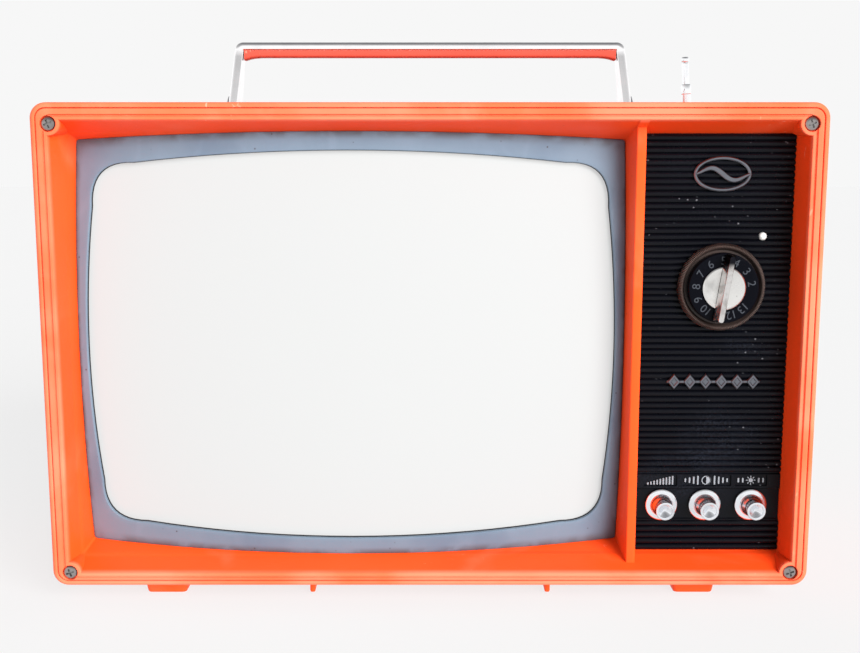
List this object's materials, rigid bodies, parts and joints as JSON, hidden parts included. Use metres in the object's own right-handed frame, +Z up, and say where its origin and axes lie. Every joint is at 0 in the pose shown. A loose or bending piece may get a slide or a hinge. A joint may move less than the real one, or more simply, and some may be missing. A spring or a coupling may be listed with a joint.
{
  "type": "portable television",
  "caption": "Portable television with an orange moulded cabinet, recessed picture tube, ribbed control panel with rotary tuner, folding handle and telescopic aerial.",
  "frame": {"origin": "middle of the set's overall width and depth, on the surface that the feet stand on", "axes": "+X to the viewer's right, +Y from the picture to the back, +Z up"},
  "size_m": [0.3726, 0.265, 0.2796],
  "materials": {
    "cabinet_orange": "glossy moulded plastic with fine scratches",
    "grip_red": "satin moulded plastic",
    "mask_silver": "silver-grey paint",
    "rubber": "matt",
    "screen_glass": "polished",
    "dark_glass": "smooth",
    "steel": "brushed",
    "chrome": "polished",
    "panel_black": "glossy",
    "dial_black": "satin",
    "ring_brown": "satin, knurled",
    "cover_grey": "fine grain",
    "copper_wire": "enamelled winding",
    "board_brown": "pressed board",
    "lens_white": "polished",
    "cone_paper": "pressed paper",
    "can_blue": "satin"
  },
  "bodies": {
    "cabinet": {"cabinet_shell": "cabinet_orange", "front_bezel": "cabinet_orange", "rear_cover": "cover_grey", "neck_cap": "cover_grey", "screen_mask": "mask_silver", "screen_gasket": "rubber", "crt_faceplate": "screen_glass", "crt_rimband": "steel", "crt_funnel": "dark_glass", "deflection_yoke": "copper_wire", "crt_socket_board": "board_brown", "control_panel": "panel_black", "upper_badge": "chrome", "lower_badge": "panel_black", "pilot_lens": "lens_white", "vhf_tuner": "steel", "handle_pin_left": "steel", "handle_pin_right": "steel", "aerial_grommet": "rubber", "aerial_base_tube": "chrome", "power_inlet": "panel_black", "aerial_terminals": "ring_brown", "chassis_frame": "steel", "main_board": "board_brown", "power_transformer": "steel", "flyback_transformer": "panel_black", "filter_capacitor_a": "can_blue", "filter_capacitor_b": "can_blue", "heat_sink": "dial_black", "speaker_basket": "steel", "speaker_cone": "cone_paper", "volume_pot": "steel", "contrast_pot": "steel", "brightness_pot": "steel", "front_screw_top_left": "steel", "front_screw_top_right": "steel", "front_screw_bottom_left": "steel", "front_screw_bottom_right": "steel", "rear_screw_top_left": "steel", "rear_screw_top_right": "steel", "rear_screw_bottom_left": "steel", "rear_screw_bottom_right": "steel"},
    "channel_selector": {"channel_dial": "dial_black", "channel_cap": "chrome", "channel_grip": "dial_black", "tuner_shaft": "steel"},
    "fine_tuning": {"fine_tuning_ring": "ring_brown", "fine_tuning_sleeve": "steel"},
    "volume_control": {"volume_knob": "chrome", "volume_shaft": "steel"},
    "contrast_control": {"contrast_knob": "chrome", "contrast_shaft": "steel"},
    "brightness_control": {"brightness_knob": "chrome", "brightness_shaft": "steel"},
    "handle": {"handle_frame": "chrome", "handle_grip": "grip_red"},
    "aerial_middle": {"aerial_middle_tube": "chrome"},
    "aerial_tip": {"aerial_tip_rod": "chrome"},
    "vertical_hold": {"vertical_hold_knob": "panel_black"},
    "horizontal_hold": {"horizontal_hold_knob": "panel_black"}
  },
  "joints": [
    {"name": "channel_turn", "type": "hinge", "parent": "cabinet", "child": "channel_selector", "pos_m": [0.142, -0.1185, 0.1569], "axis": [0, 1, 0], "continuous": true},
    {"name": "fine_tuning_turn", "type": "hinge", "parent": "cabinet", "child": "fine_tuning", "pos_m": [0.142, -0.1185, 0.1569], "axis": [0, 1, 0], "continuous": true},
    {"name": "volume_turn", "type": "hinge", "parent": "cabinet", "child": "volume_control", "pos_m": [0.1164, -0.1185, 0.0464], "axis": [0, 1, 0], "range_deg": [0, 300]},
    {"name": "contrast_turn", "type": "hinge", "parent": "cabinet", "child": "contrast_control", "pos_m": [0.1383, -0.1185, 0.0464], "axis": [0, 1, 0], "range_deg": [0, 300]},
    {"name": "brightness_turn", "type": "hinge", "parent": "cabinet", "child": "brightness_control", "pos_m": [0.1614, -0.1185, 0.0464], "axis": [0, 1, 0], "range_deg": [0, 300]},
    {"name": "handle_fold", "type": "hinge", "parent": "cabinet", "child": "handle", "pos_m": [0, -0.0425, 0.241], "axis": [-1, 0, 0], "range_deg": [0, 72]},
    {"name": "aerial_middle_slide", "type": "slide", "parent": "cabinet", "child": "aerial_middle", "axis": [-0.0663, 0, 0.9978], "range_m": [-0.012, 0.095]},
    {"name": "aerial_tip_slide", "type": "slide", "parent": "aerial_middle", "child": "aerial_tip", "axis": [-0.0663, 0, 0.9978], "range_m": [0, 0.11]},
    {"name": "vertical_hold_turn", "type": "hinge", "parent": "cabinet", "child": "vertical_hold", "pos_m": [0.05, 0.12, 0.047], "axis": [0, -1, 0], "range_deg": [-135, 135]},
    {"name": "horizontal_hold_turn", "type": "hinge", "parent": "cabinet", "child": "horizontal_hold", "pos_m": [0.08, 0.12, 0.047], "axis": [0, -1, 0], "range_deg": [-135, 135]}
  ]
}
